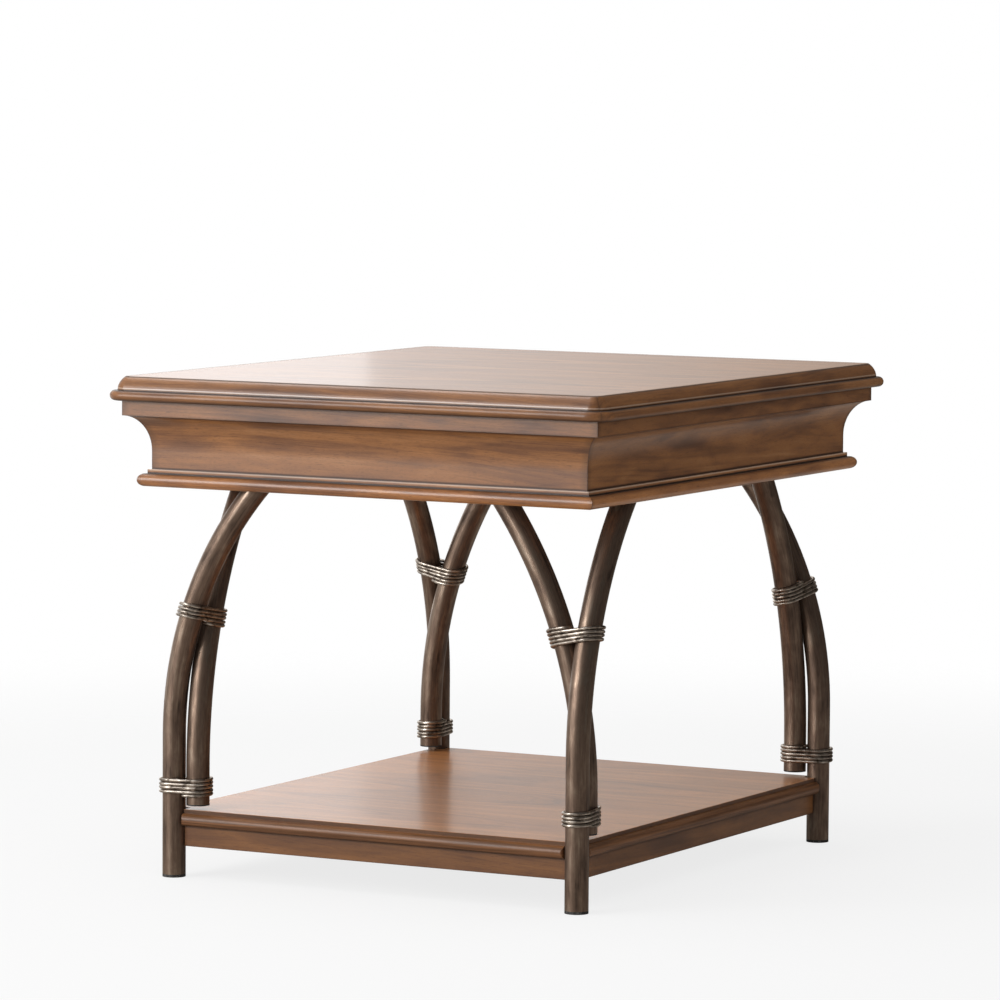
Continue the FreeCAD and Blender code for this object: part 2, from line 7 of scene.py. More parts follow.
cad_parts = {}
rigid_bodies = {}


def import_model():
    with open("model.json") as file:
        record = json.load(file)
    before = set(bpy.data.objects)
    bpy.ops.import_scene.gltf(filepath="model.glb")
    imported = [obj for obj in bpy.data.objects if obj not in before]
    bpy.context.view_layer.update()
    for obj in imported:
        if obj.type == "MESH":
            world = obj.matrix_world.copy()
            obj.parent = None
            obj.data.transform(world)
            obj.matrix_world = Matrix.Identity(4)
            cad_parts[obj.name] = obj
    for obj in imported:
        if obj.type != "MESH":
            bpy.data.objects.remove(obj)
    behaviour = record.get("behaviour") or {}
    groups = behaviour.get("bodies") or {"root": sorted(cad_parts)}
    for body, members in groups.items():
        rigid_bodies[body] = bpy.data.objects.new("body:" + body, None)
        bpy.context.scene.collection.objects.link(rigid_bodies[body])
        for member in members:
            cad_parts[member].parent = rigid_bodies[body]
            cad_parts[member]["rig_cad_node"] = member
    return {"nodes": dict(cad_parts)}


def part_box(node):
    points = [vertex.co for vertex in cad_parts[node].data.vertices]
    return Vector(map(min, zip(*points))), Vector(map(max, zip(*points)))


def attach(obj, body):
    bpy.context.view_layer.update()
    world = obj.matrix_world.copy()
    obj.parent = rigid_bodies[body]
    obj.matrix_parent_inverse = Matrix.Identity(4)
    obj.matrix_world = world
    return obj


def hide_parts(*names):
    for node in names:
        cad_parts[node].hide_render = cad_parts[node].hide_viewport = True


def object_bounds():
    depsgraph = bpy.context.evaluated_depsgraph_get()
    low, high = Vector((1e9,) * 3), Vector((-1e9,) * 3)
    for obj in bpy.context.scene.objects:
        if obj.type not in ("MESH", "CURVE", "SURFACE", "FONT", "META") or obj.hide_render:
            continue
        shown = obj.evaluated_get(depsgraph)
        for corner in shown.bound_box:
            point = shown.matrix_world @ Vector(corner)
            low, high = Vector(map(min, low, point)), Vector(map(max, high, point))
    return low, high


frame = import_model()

cad_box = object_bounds()

# Top panel. A flat board faced with mirrored leaves of cherry veneer, their grain running across the
# front, stained mid brown, lacquered to a satin sheen and left raw below. It lies inside the four
# moulded edges.


class Tone:
    """A value, colour or place in a finish. Sums and products of values add Math nodes."""

    def __init__(self, tree, socket):
        self.tree = tree
        self.socket = socket

    def node(self, kind, settings, sockets, output=0):
        """Add a node, make its settings, then set or link its sockets."""
        made = self.tree.nodes.new(kind)
        for name, value in settings.items():
            if name == "stops":
                ramp = made.color_ramp.elements
                ramp.remove(ramp[1])
                for position, colour in value[1:]:
                    ramp.new(position).color = (*colour, 1)
                ramp[0].position = value[0][0]
                ramp[0].color = (*value[0][1], 1)
            else:
                setattr(made, name, value)
        for name, value in sockets.items():
            if isinstance(value, Tone):
                self.tree.links.new(value.socket, made.inputs[name])
            else:
                made.inputs[name].default_value = value
        return Tone(self.tree, made.outputs[output])

    def math(self, operation, *values):
        return self.node("ShaderNodeMath", {"operation": operation}, dict(enumerate(values)))

    def __add__(self, other):
        return self.math("ADD", self, other)

    def __radd__(self, other):
        return self.math("ADD", other, self)

    def __sub__(self, other):
        return self.math("SUBTRACT", self, other)

    def __rsub__(self, other):
        return self.math("SUBTRACT", other, self)

    def __mul__(self, other):
        return self.math("MULTIPLY", self, other)

    def __rmul__(self, other):
        return self.math("MULTIPLY", other, self)

    def __truediv__(self, other):
        return self.math("DIVIDE", self, other)

    def __abs__(self):
        return self.math("ABSOLUTE", self)

    def larger(self, other):
        return self.math("MAXIMUM", self, other)

    def smaller(self, other):
        return self.math("MINIMUM", self, other)

    def root(self):
        return self.math("SQRT", self)

    def between(self, low, high):
        """0 at low, 1 at high, eased at both ends."""
        return self.node(
            "ShaderNodeMapRange",
            {"interpolation_type": "SMOOTHSTEP"},
            {"Value": self, "From Min": low, "From Max": high},
        )

    def axis(self, name):
        return self.node("ShaderNodeSeparateXYZ", {}, {"Vector": self}, name)

    def cloud(self, spots, detail, twist=0.0):
        """Noise about 0.5, with so many spots to the metre along each axis."""
        stretched = self.node("ShaderNodeVectorMath", {"operation": "MULTIPLY"}, {0: self, 1: spots})
        return self.node(
            "ShaderNodeTexNoise",
            {"noise_dimensions": "3D"},
            {"Vector": stretched, "Scale": 1.0, "Detail": detail, "Roughness": 0.55, "Distortion": twist},
            "Fac",
        )

    def bump(self, strength, depth):
        """The surface, raised by this value."""
        return self.node("ShaderNodeBump", {}, {"Strength": strength, "Distance": depth, "Height": self})


def mixed(share, first, second):
    """The first colour, with a share of the second laid on it."""
    pair = [colour if isinstance(colour, Tone) else (*colour, 1) for colour in (first, second)]
    return share.node("ShaderNodeMix", {"data_type": "RGBA"}, {0: share, 6: pair[0], 7: pair[1]}, 2)


def new_finish(name):
    """A new material, its shader and the place on the object that its patterns follow."""
    material = bpy.data.materials.new(name)
    material.use_nodes = True
    tree = material.node_tree
    place = Tone(tree, tree.nodes.new("ShaderNodeTexCoord").outputs["Object"])
    return material, tree.nodes["Principled BSDF"], place


def feed(shader, values):
    """Set a shader's sockets, or link them to what changes over the surface."""
    for name, value in values.items():
        if isinstance(value, Tone):
            value.tree.links.new(value.socket, shader.inputs[name])
        else:
            shader.inputs[name].default_value = value


def wear(node, material):
    """Give a CAD piece its finish."""
    mesh = frame["nodes"][node].data
    mesh.materials.clear()
    mesh.materials.append(material)


umber = (0.064, 0.024, 0.010)
cherry_brown = (0.178, 0.070, 0.026)
amber = (0.300, 0.121, 0.036)
pale_cherry = (0.400, 0.184, 0.070)
lip_dark = (0.072, 0.029, 0.011)
lip_light = (0.155, 0.066, 0.026)
glaze_and_shade_brown = (0.030, 0.014, 0.008)
raw_wood = (0.42, 0.28, 0.16)
raw_streak = (0.30, 0.18, 0.095)
highlight_pale_wood = (0.62, 0.48, 0.37)
dull_sheen = 0.15


def paler(colour, tone):
    """A colour made paler, or darker where tone is below 1."""
    return tuple(part * tone for part in colour)


def cherry(
    name, turn, heart, figuring, sheen, tone=1.0, patchy=0.0, leaf=None,
    glaze_and_shade=None, raw=None, painted_highlight=None, lipped=None, flat=None,
):
    """Stained cherry: rings round the log's heart line, fine grain and pores along it, under a lacquer.

    The grain runs level, turned by turn. Figuring and patchy say how far the rings and the stain show,
    sheen how much lacquer there is, tone how pale the stain is, and leaf how wide a leaf of veneer is.
    The last five take a place and give the share of dark glaze with painted shade, bare wood, pale wood
    for a painted highlight, darker edge or full lacquer there.
    """
    material, shader, place = new_finish(name)
    board = place.node(
        "ShaderNodeMapping",
        {"vector_type": "TEXTURE"},
        {"Vector": place, "Location": heart, "Rotation": (0, 0, turn)},
    )
    along = board.axis("X")
    beside = board.axis("Y")
    if leaf:
        heart_in_leaf = leaf * 0.45
        beside = beside.math("PINGPONG", beside, leaf) - heart_in_leaf
    taper = 0.035
    wander = 0.035
    above = board.axis("Z") + along * taper + board.cloud((2.4, 9, 9), 2) * wander
    radius = (beside * beside + above * above).root()
    rings = along.node("ShaderNodeCombineXYZ", {}, {"X": along, "Y": radius, "Z": beside * 0.1})
    figure = rings.cloud((1.8, 120, 8), 4, 0.2)
    streak = rings.cloud((8, 620, 20), 3)
    fine = board.cloud((60, 1300, 1300), 2)
    pores = board.cloud((170, 2600, 2600), 1).between(0.56, 0.66)
    flecks = board.cloud((80, 800, 800), 2).between(0.62, 0.70)
    stain = board.cloud((7, 13, 13), 2, 0.6)
    patches = board.cloud((11, 62, 62), 2, 0.4)
    grain = figure * 0.60 + streak * 0.27 + fine * 0.16 - 0.515
    depth = grain * figuring + (patches - 0.5) * patchy + 0.5
    shades = ((0.31, umber), (0.43, cherry_brown), (0.55, amber), (0.68, pale_cherry))
    stops = [(position, paler(shade, tone)) for position, shade in shades]
    colour = depth.node("ShaderNodeValToRGB", {"stops": stops}, {"Fac": depth})
    colour = mixed(stain.between(0.44, 0.66) * 0.40, colour, paler(amber, tone))
    colour = mixed(stain.between(0.50, 0.36) * 0.20 * figuring, colour, umber)
    colour = mixed(streak.between(0.43, 0.32) * 0.30 * figuring, colour, umber)
    colour = mixed(pores * 0.35, colour, umber)
    colour = mixed(flecks * 0.40, colour, umber)
    roughness = 0.36 + fine * 0.16
    if lipped:
        lip_grain = place.cloud((9, 9, 480), 3)
        lip = mixed(lip_grain.between(0.38, 0.64), lip_dark, lip_light)
        colour = mixed(lipped(place) * 0.92, colour, lip)
    # The glaze mask lays dark glaze together with painted shade into quirks, beside mitres and under edges.
    if glaze_and_shade:
        dark = glaze_and_shade(place)
        colour = mixed(dark * 0.92, colour, glaze_and_shade_brown)
        roughness = roughness + dark * 0.15
    if raw:
        bare = raw(place)
        colour = mixed(bare * 0.9, colour, mixed(streak.between(0.3, 0.7), raw_wood, raw_streak))
        roughness = roughness + bare * 0.3
    if flat:
        sheen = dull_sheen + flat(place) * (sheen - dull_sheen)
    # A pale painted highlight along an arris, with fuller lacquer there.
    if painted_highlight:
        bright = painted_highlight(place)
        colour = mixed(bright * 0.45, colour, highlight_pale_wood)
        sheen = sheen + bright * (1 - sheen)
    relief = (fine * 0.6 - pores * 0.7).bump(strength=0.12, depth=0.0002)
    feed(shader, {
        "Base Color": colour,
        "Roughness": roughness,
        "Normal": relief,
        "Coat Weight": sheen,
        "Coat Roughness": 0.18,
        "Specular IOR Level": 0.33,
    })
    return material


top_low, top_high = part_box("top_panel")
top_heart = (0.31, 0.08, top_low.z - 0.045)
raw_height = 0.002


def top_underside(place):
    """1 on the panel's lower face."""
    return place.axis("Z").between(top_low.z + raw_height, top_low.z)


top_veneer = cherry(
    "veneer_of_the_top", 0, top_heart, figuring=0.68, sheen=0.55, leaf=0.18, raw=top_underside,
)
wear("top_panel", top_veneer)

# Moulded edges of the top. Four lengths of solid cherry, run with an ovolo, a fillet and a bead, shaped
# round half of each corner, mitred there and glued to the panel. Painted shade lies in the quirks, beside
# the mitres and underneath, a dark line runs just below the upper face, and the fillets' arrises carry a
# pale painted highlight.


def eased_copy(node, easing, chosen):
    """A merged copy of a CAD piece whose chosen arrises are rounded over."""
    merge_distance = 0.00001
    flat_angle = math.radians(0.4)
    arris_angle = math.radians(35)
    smooth_angle = math.radians(40)
    bpy.ops.object.select_all(action="DESELECT")
    original = frame["nodes"][node]
    original.select_set(True)
    bpy.context.view_layer.objects.active = original
    bpy.ops.object.duplicate()
    piece = bpy.context.active_object
    piece.name = f"{node}_eased"
    del piece["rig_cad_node"]
    bpy.ops.object.mode_set(mode="EDIT")
    bpy.ops.mesh.select_mode(type="EDGE")
    bpy.ops.mesh.select_all(action="SELECT")
    bpy.ops.mesh.customdata_custom_splitnormals_clear()
    bpy.ops.mesh.remove_doubles(threshold=merge_distance)
    bpy.ops.mesh.dissolve_limited(angle_limit=flat_angle)
    bpy.ops.mesh.select_all(action="DESELECT")
    bpy.ops.mesh.edges_select_sharp(sharpness=arris_angle)
    bpy.ops.object.mode_set(mode="OBJECT")
    mesh = piece.data
    for edge in mesh.edges:
        ends = [mesh.vertices[i].co for i in edge.vertices]
        if edge.select and not all(chosen(end) for end in ends):
            edge.select = False
    bpy.ops.object.mode_set(mode="EDIT")
    bpy.ops.mesh.bevel(offset=easing, segments=2, affect="EDGES", clamp_overlap=True)
    bpy.ops.object.mode_set(mode="OBJECT")
    bpy.ops.object.shade_smooth_by_angle(angle=smooth_angle)
    bpy.ops.object.modifier_add(type="WEIGHTED_NORMAL")
    piece.modifiers[-1].keep_sharp = True
    bpy.ops.object.modifier_apply(modifier=piece.modifiers[-1].name)
    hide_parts(node)
    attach(piece, "root")
    return piece


def dress(piece, material):
    """Give a new piece its finish."""
    piece.data.materials.clear()
    piece.data.materials.append(material)


def line_at(height, middle, half):
    """1 on a level line, falling to 0 a half width above and below it."""
    nearness = 1 - abs(height - middle) / half
    return nearness.larger(0.0)


half_width, half_depth = cad_box[1][0], cad_box[1][1]


def inset_of(point):
    """How far a point lies inside the outline of the top."""
    return min(half_width - abs(point.x), half_depth - abs(point.y))


def insets_at(place):
    """How far a place lies inside the top's outline, across the table and from front to back."""
    return half_width - abs(place.axis("X")), half_depth - abs(place.axis("Y"))


def mitre_line(place, half):
    """1 on the four mitres, falling to 0 a half width to each side."""
    across, back = insets_at(place)
    return line_at(across - back, 0.0, half)


panel_inset = half_width - top_high.x
top_fillet = top_low.z + 0.011
edge_easing = 0.0006
edge_joint = 0.0005


def edge_glaze_and_shade(place):
    """Painted shade in the quirk, beside the mitres and underneath, and a dark line below the upper face.
    """
    height = place.axis("Z")
    quirk = line_at(height, middle=top_fillet + 0.0001, half=0.0016) * 1.2
    under = height.between(top_low.z + 0.0036, top_low.z)
    arris = height.between(top_high.z - 0.0016, top_high.z - 0.0006)
    arris = arris * height.between(top_high.z, top_high.z - 0.0003)
    ends = (arris * 0.8).larger(mitre_line(place, half=0.007) * 0.45)
    return quirk.larger(ends.larger(under * 0.9))


def edge_highlight_line(place):
    """1 along the fillet's arris, where a pale highlight is painted."""
    return line_at(place.axis("Z"), middle=top_fillet + 0.0024, half=0.0010)


quarter = math.pi / 2
sides = ("front", "right", "back", "left")


def heart_line(number, inset, height, step):
    """A point on the heart line of the log that a side's rail was sawn from, a step higher at each side."""
    along_first = 0.9
    along_step = 0.37
    outward = (Vector((0, -1)), Vector((1, 0)), Vector((0, 1)), Vector((-1, 0)))[number]
    across, back = (half_width - inset) * outward.x, (half_depth - inset) * outward.y
    along = Vector((outward.y, outward.x, 0))
    return Vector((across, back, height + step * number)) + along * (along_first + along_step * number)


for number, side in enumerate(sides):
    edge = eased_copy(
        f"top_edge_{side}", edge_easing, lambda point: inset_of(point) < panel_inset - edge_joint
    )
    heart = heart_line(number, inset=0.055, height=top_low.z - 0.015, step=0.004)
    finish = cherry(
        f"moulded_edge_{side}", quarter * (number % 2), heart, figuring=0.9, sheen=0.30, tone=0.70,
        patchy=0.30, glaze_and_shade=edge_glaze_and_shade, painted_highlight=edge_highlight_line,
    )
    dress(edge, finish)

# Cleats. Square bars of plain sawn wood round the inside of the apron, glued to it,
# through which pan-head screws hold the top down.

sawn_dark = (0.30, 0.18, 0.09)
sawn_mid = (0.47, 0.31, 0.17)
sawn_pale = (0.58, 0.42, 0.25)


def sawn_wood(name, turn, shift):
    """Pale plain wood with the marks of the saw across its grain."""
    material, shader, place = new_finish(name)
    board = place.node("ShaderNodeMapping", {}, {"Vector": place, "Location": shift, "Rotation": turn})
    streak = board.cloud((4, 90, 90), 4, 0.5)
    fine = board.cloud((20, 700, 700), 2)
    marks = board.cloud((420, 8, 8), 2)
    shade = streak * 0.7 + fine * 0.3
    stops = [(0.38, sawn_dark), (0.5, sawn_mid), (0.62, sawn_pale)]
    feed(shader, {
        "Base Color": shade.node("ShaderNodeValToRGB", {"stops": stops}, {"Fac": shade}),
        "Roughness": 0.68 + fine * 0.2,
        "Normal": (fine * 0.5 + marks).bump(strength=0.3, depth=0.0004),
        "Specular IOR Level": 0.25,
    })
    return material


for number, side in enumerate(sides):
    turn = (0, 0, quarter * (number % 2))
    shift = (0.4 * number, 0.2, 0.6)
    wear(f"top_cleat_{side}", sawn_wood(f"cleat_wood_{side}", turn, shift))

zinc_dull = (0.36, 0.36, 0.34)
zinc_bright = (0.62, 0.61, 0.57)


def zinc(name):
    """Bright zinc plate, clouded and a little scratched."""
    material, shader, place = new_finish(name)
    cloud = place.cloud((260, 260, 260), 3)
    scratch = place.cloud((1800, 1800, 200), 2)
    shade = cloud * 0.7 + scratch * 0.3
    feed(shader, {
        "Base Color": mixed(shade.between(0.35, 0.65), zinc_dull, zinc_bright),
        "Metallic": 1.0,
        "Roughness": 0.28 + cloud * 0.25,
    })
    return material


screw_zinc = zinc("zinc_of_the_screws")
wear("top_screws", screw_zinc)

# Apron. Four cherry rails with a flat band over a deep cove, mitred and glued at the corners.
# Painted shade darkens the cove under the band and at its foot, the apron's head, and a band beside
# each mitre, round a dark glaze line in the mitre itself.

apron_low, apron_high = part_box("apron_front")
band_bottom = apron_high.z - 0.0165
apron_inner_inset = 0.058
apron_easing = 0.0006
apron_plain = 0.004


def cove_glaze_and_shade(place):
    """Painted shade below the band, at the foot and head and beside the mitres; dark glaze in the mitres.
    """
    height = place.axis("Z")
    arris = line_at(height, middle=band_bottom - 0.0006, half=0.0022)
    foot = height.between(apron_low.z + 0.0030, apron_low.z + 0.0010)
    head = height.between(apron_high.z - 0.004, apron_high.z)
    ends = arris.larger(foot.larger(head))
    mitre = (mitre_line(place, half=0.0018) * 0.9).larger(mitre_line(place, half=0.010) * 0.5)
    return (ends * 0.9).larger(mitre)


def apron_inside(place):
    """1 on the rails' inner faces."""
    across, back = insets_at(place)
    return across.smaller(back).between(apron_inner_inset - 0.0012, apron_inner_inset - 0.0002)


for number, side in enumerate(sides):
    rail = eased_copy(
        f"apron_{side}", apron_easing, lambda point: inset_of(point) < apron_inner_inset - apron_plain
    )
    heart = heart_line(number, inset=0.100, height=apron_low.z + 0.020, step=0.008)
    finish = cherry(
        f"coved_apron_{side}", quarter * (number % 2), heart, figuring=0.58, sheen=0.58, tone=0.88,
        patchy=0.46, glaze_and_shade=cove_glaze_and_shade, raw=apron_inside,
    )
    dress(rail, finish)

# Corner blocks. Three-sided glue blocks of plain wood, upright in the apron's corners,
# with their sharp tips sawn off.

for number, corner in enumerate(("front_left", "front_right", "back_right", "back_left")):
    upright = (0, quarter, 0)
    shift = (0.3 * number, 0.5, 0.1)
    wear(f"{corner}_corner_block", sawn_wood(f"block_wood_{corner}", upright, shift))

# Base rails. Four flat cherry rails under the apron with a fillet and a half-round bead along the
# outer edge, mitred, and screwed up into the apron from below. Painted shade lies in the quirk over the
# bead and beside the mitres, with dark glaze in the mitres, and the fillet's arris carries a pale painted
# highlight.

base_low, base_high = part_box("base_rail_front")
bead_top = base_high.z - 0.0045
base_inner_inset = half_depth + base_high.y
base_easing = 0.0011
base_plain = 0.06


def base_glaze_and_shade(place):
    """Painted shade in the quirk above the bead and beside the mitres; dark glaze in the mitres."""
    quirk = line_at(place.axis("Z"), middle=bead_top + 0.0003, half=0.0019) * 1.5
    mitre = (mitre_line(place, half=0.0013) * 0.8).larger(mitre_line(place, half=0.007) * 0.4)
    return (quirk * 0.9).larger(mitre)


def base_highlight_line(place):
    """1 on the fillet's arris, where a pale highlight is painted."""
    return place.axis("Z").between(base_high.z - 0.0018, base_high.z - 0.0008)


for number, side in enumerate(sides):
    rail = eased_copy(
        f"base_rail_{side}", base_easing, lambda point: inset_of(point) < base_inner_inset - base_plain
    )
    heart = heart_line(number, inset=0.110, height=base_low.z - 0.030, step=0.006)
    finish = cherry(
        f"base_rail_cherry_{side}", quarter * (number % 2), heart, figuring=0.75, sheen=0.60, tone=1.2,
        patchy=0.36, glaze_and_shade=base_glaze_and_shade, painted_highlight=base_highlight_line,
    )
    dress(rail, finish)
wear("base_screws", screw_zinc)

# Legs and braces. Bent steel tubes, upright and then on one long arc to the base rails, with a dark
# bronze coat rubbed through along its high places. Each brace stops short of the shelf.

tube_radius = 0.0127
leg_inset = 0.058
brace_along = 0.02741
brace_across = 0.0045


class Bend:
    """The line of a tube: upright to the start of the bend, then on one arc to the base rails."""

    def __init__(self, start, reach):
        rise = base_low.z - start
        self.start = start
        self.radius = (rise ** 2 + reach ** 2) / (2 * reach)

    def lean(self, height):
        """The sine of the angle at which the tube leans at a height."""
        return max(height - self.start, 0.0) / self.radius

    def offset(self, height):
        """How far the tube has bent sideways at a height."""
        return self.radius * (1 - math.sqrt(1 - self.lean(height) ** 2))


leg_bend = Bend(start=0.155, reach=0.1025)
brace_bend = Bend(start=0.120, reach=0.099)
leg_x = half_width - leg_inset
leg_y = half_depth - leg_inset
corners = {
    "front_left": (Vector((-leg_x, -leg_y, 0)), 0),
    "front_right": (Vector((leg_x, -leg_y, 0)), 1),
    "back_right": (Vector((leg_x, leg_y, 0)), 2),
    "back_left": (Vector((-leg_x, leg_y, 0)), 3),
}
bronze_dark = (0.060, 0.038, 0.027)
bronze_mid = (0.175, 0.118, 0.085)
bronze_bright = (0.410, 0.322, 0.252)


def rubbed_bronze(name, foot, turn, bend):
    """A dark bronze coat, streaked along the tube as if it were pulled straight."""
    material, shader, place = new_finish(name)
    tube = place.node(
        "ShaderNodeMapping",
        {"vector_type": "TEXTURE"},
        {"Vector": place, "Location": foot, "Rotation": (0, 0, turn)},
    )
    height = tube.axis("Z")
    rise = (height - bend.start).larger(0.0)
    over = bend.radius - tube.axis("X")
    angle = rise.math("ARCTAN2", rise, over)
    along = height.smaller(bend.start) + angle * bend.radius
    across = bend.radius - (over * over + rise * rise).root()
    straight = across.node("ShaderNodeCombineXYZ", {}, {"X": across, "Y": tube.axis("Y"), "Z": along})
    patches = straight.cloud((58, 58, 24), 4, 0.3)
    streaks = straight.cloud((300, 300, 20), 3, 0.2)
    brushed = straight.cloud((1500, 1500, 60), 2)
    shade = patches * 0.50 + streaks * 0.34 + brushed * 0.16
    colour = mixed(shade.between(0.34, 0.52), bronze_dark, bronze_mid)
    colour = mixed(shade.between(0.48, 0.66) * 0.75, colour, bronze_bright)
    feed(shader, {
        "Base Color": colour,
        "Metallic": 0.70 + shade.between(0.4, 0.62) * 0.25,
        "Roughness": 0.40 - shade.between(0.4, 0.65) * 0.10 + brushed * 0.06,
        "Normal": (streaks * 0.6 + brushed * 0.4 + patches).bump(strength=0.12, depth=0.0005),
    })
    return material


for corner, (foot, turns) in corners.items():
    wear(f"{corner}_leg", rubbed_bronze(f"bronze_of_leg_{corner}", foot, quarter * turns, leg_bend))
    offset = Matrix.Rotation(quarter * turns, 3, "Z") @ Vector((brace_along, brace_across, 0))
    finish = rubbed_bronze(f"bronze_of_brace_{corner}", foot + offset, quarter * (turns + 1), brace_bend)
    wear(f"{corner}_brace", finish)

# Plates. Flat steel plates welded across the tubes' upper ends, let into the base rails
# and held there by countersunk screws.


def coated_plate(name):
    """The same dark coat on flat steel, duller where nobody rubs it."""
    material, shader, place = new_finish(name)
    cloud = place.cloud((90, 90, 90), 4, 0.4)
    speck = place.cloud((900, 900, 900), 2)
    feed(shader, {
        "Base Color": mixed((cloud * 0.7 + speck * 0.3).between(0.36, 0.66), bronze_dark, bronze_mid),
        "Metallic": 0.7,
        "Roughness": 0.46 + speck * 0.18,
        "Normal": speck.bump(strength=0.2, depth=0.0002),
    })
    return material


plate_coat = coated_plate("coat_of_the_plates")
for corner in corners:
    wear(f"{corner}_leg_plate", plate_coat)
    wear(f"{corner}_brace_plate", plate_coat)
wear("plate_screws", screw_zinc)

# Lashings. Pewter wire wound four and a half times round each leg and its brace, low down and again
# where they bend apart, pulled tight by hand, with its two ends tucked between the tubes.

wire_radius = 0.0018
wire_pitch = 0.0041
wire_clearance = 0.0003
wire_sway = 0.00022
sway_by_turn = 1.9
sway_in_turn = 2.6
half_turns = 9
points_each = 8
tail_reach = 0.010
tail_bend = 0.002
tail_share = 0.55
lashing_heights = {"lower": 0.100, "upper": 0.288}


def winding_points(height):
    """The control points of one wire round the front left leg, whose axis stands at the origin."""
    leg = Vector((leg_bend.offset(height), 0, height))
    brace = Vector((brace_along, brace_across + brace_bend.offset(height), height))
    leg_lean, brace_lean = leg_bend.lean(height), brace_bend.lean(height)
    leg_way = Vector((leg_lean, 0, math.sqrt(1 - leg_lean ** 2)))
    brace_way = Vector((0, brace_lean, math.sqrt(1 - brace_lean ** 2)))
    axis = (leg_way + brace_way).normalized()
    middle = (leg + brace) / 2
    across = brace - leg
    along = (across - axis * across.dot(axis)).normalized()
    back = axis.cross(along)
    slant = min(leg_way.dot(axis), brace_way.dot(axis))
    round_radius = tube_radius / slant + wire_clearance + wire_radius
    control_radius = round_radius / math.cos(math.pi / 2 / points_each)
    points = []
    for turn in range(half_turns):
        tube, way, side = (brace, brace_way, 1) if turn % 2 == 0 else (leg, leg_way, -1)
        for step in range(points_each + 1):
            share = step / points_each
            sway = wire_sway * math.sin(sway_by_turn * turn + sway_in_turn * share)
            rise = (turn + share - half_turns / 2) * wire_pitch / 2 + sway
            centre = tube + way * ((rise - (tube - middle).dot(axis)) / way.dot(axis))
            angle = math.pi * (share - 0.5)
            outward = along * math.cos(angle) + back * math.sin(angle)
            points.append(centre + side * control_radius * outward)
    first, last = points[0], points[-1]
    gap = (brace - leg).length / 2
    inwards = along * gap
    partly = along * gap * tail_share
    start = [first - inwards + back * tail_reach, first - inwards + back * tail_bend, first - partly]
    end = [last - partly, last - inwards - back * tail_bend, last - inwards - back * tail_reach]
    return start + points + end


def wound_wire(name, points):
    """A round wire on one smooth line led by the points."""
    merge_distance = 0.000001
    smooth_angle = math.radians(50)
    bpy.ops.object.select_all(action="DESELECT")
    bpy.ops.curve.primitive_nurbs_path_add()
    piece = bpy.context.active_object
    piece.name = name
    curve = piece.data
    curve.splines.clear()
    spline = curve.splines.new("NURBS")
    spline.points.add(len(points) - 1)
    for control, point in zip(spline.points, points):
        control.co = (*point, 1)
    spline.order_u = 3
    spline.use_endpoint_u = True
    spline.resolution_u = 4
    curve.bevel_depth = wire_radius
    curve.bevel_resolution = 4
    curve.use_fill_caps = True
    bpy.ops.object.convert(target="MESH")
    bpy.ops.object.mode_set(mode="EDIT")
    bpy.ops.mesh.select_all(action="SELECT")
    bpy.ops.mesh.remove_doubles(threshold=merge_distance)
    bpy.ops.mesh.normals_make_consistent(inside=False)
    bpy.ops.object.mode_set(mode="OBJECT")
    bpy.ops.object.shade_smooth_by_angle(angle=smooth_angle)
    return piece


pewter_dark = (0.13, 0.105, 0.085)
pewter_mid = (0.46, 0.405, 0.350)
pewter_bright = (0.78, 0.715, 0.64)


def pewter(name):
    """Dull pewter wire, tarnished in patches and bright where it is rubbed."""
    material, shader, place = new_finish(name)
    tarnish = place.cloud((120, 120, 160), 3, 0.5)
    drawn = place.cloud((1400, 1400, 1400), 2)
    shade = tarnish * 0.75 + drawn * 0.25
    colour = mixed(shade.between(0.36, 0.52), pewter_dark, pewter_mid)
    feed(shader, {
        "Base Color": mixed(shade.between(0.52, 0.68), colour, pewter_bright),
        "Metallic": 1.0,
        "Roughness": 0.44 - shade.between(0.4, 0.65) * 0.14,
        "Normal": drawn.bump(strength=0.12, depth=0.0002),
    })
    return material


wire_pewter = pewter("pewter_of_the_wire")
for level, height in lashing_heights.items():
    winding = winding_points(height)
    for corner, (foot, turns) in corners.items():
        turned = [foot + Matrix.Rotation(quarter * turns, 3, "Z") @ point for point in winding]
        wire = wound_wire(f"{corner}_{level}_wire", turned)
        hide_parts(f"{corner}_{level}_lashing")
        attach(wire, "root")
        dress(wire, wire_pewter)

# Shelf. A panel with a darker half-round nosing below a small set-in step, notched round the legs and
# lying on four cherry rails. Its veneer has mirrored leaves as the top's has, painted paler as painted
# light that lifts the shade under the top, and painted shade lies on the step and under the panel.

shelf_low, shelf_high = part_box("shelf_panel")
shelf_inset = half_width - shelf_high.x
nosing_top = shelf_high.z - 0.0045
shelf_heart = (-0.22, 0.03, shelf_low.z - 0.050)
shelf_easing = 0.0005
shelf_edge_zone = 0.04
shelf_rail_zone = 0.03
shelf_rail_foot = 0.034


def shelf_painted_shade(place):
    """Painted shade on the step over the nosing and along the nosing's lower edge."""
    height = place.axis("Z")
    step = height.between(nosing_top - 0.0006, nosing_top + 0.0006)
    step = step * height.between(shelf_high.z - 0.0001, shelf_high.z - 0.0006)
    under = height.between(shelf_low.z + 0.0022, shelf_low.z)
    return (step * 0.9).larger(under * 0.8)


def shelf_lip(place):
    """1 on the nosing."""
    height = place.axis("Z")
    below_step = height.between(nosing_top + 0.0008, nosing_top - 0.0008)
    return below_step * height.between(shelf_low.z, shelf_low.z + 0.0012)


def shelf_flat(place):
    """1 on the shelf's upper face."""
    return place.axis("Z").between(shelf_high.z - 0.0012, shelf_high.z - 0.0002)


shelf = eased_copy(
    "shelf_panel", shelf_easing, lambda point: inset_of(point) < shelf_inset + shelf_edge_zone
)
